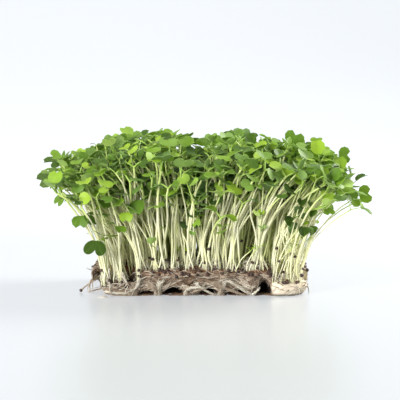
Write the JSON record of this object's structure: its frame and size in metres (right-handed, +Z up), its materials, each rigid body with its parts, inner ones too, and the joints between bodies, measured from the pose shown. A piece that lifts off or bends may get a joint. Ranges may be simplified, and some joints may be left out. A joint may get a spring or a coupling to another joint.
{
  "type": "block of microgreens on its root mat",
  "caption": "Block of brassica microgreens standing on a dense root mat, turned out of its growing tray; pale stems fan out to notched green seed leaves.",
  "frame": {"origin": "middle of the root mat's underside, on the surface that it stands on", "axes": "+Z up along the stems, +X along the mat's long side to the right, -Y towards the front that the picture shows"},
  "size_m": [0.17, 0.1173, 0.0822],
  "materials": {
    "root_mat": "matte fibrous roots",
    "seedling": "satin living leaf and stem",
    "seed_coat": "dull seed coat"
  },
  "bodies": {
    "root": {"root_mat": "root_mat", "tuft_01": "seedling", "tuft_02": "seedling", "tuft_03": "seedling", "tuft_04": "seedling", "tuft_05": "seedling", "tuft_06": "seedling", "tuft_07": "seedling", "tuft_08": "seedling", "tuft_09": "seedling", "tuft_10": "seedling", "tuft_11": "seedling", "tuft_12": "seedling", "tuft_13": "seedling", "tuft_14": "seedling", "tuft_15": "seedling", "tuft_16": "seedling", "tuft_17": "seedling", "tuft_18": "seedling", "tuft_19": "seedling", "tuft_20": "seedling", "tuft_21": "seedling", "tuft_22": "seedling", "tuft_23": "seedling", "tuft_24": "seedling", "tuft_25": "seedling", "tuft_26": "seedling", "tuft_27": "seedling", "tuft_28": "seedling", "tuft_29": "seedling", "tuft_30": "seedling", "tuft_31": "seedling", "tuft_32": "seedling", "tuft_33": "seedling", "tuft_34": "seedling", "tuft_35": "seedling", "stray_sprout": "seed_coat"}
  },
  "joints": []
}
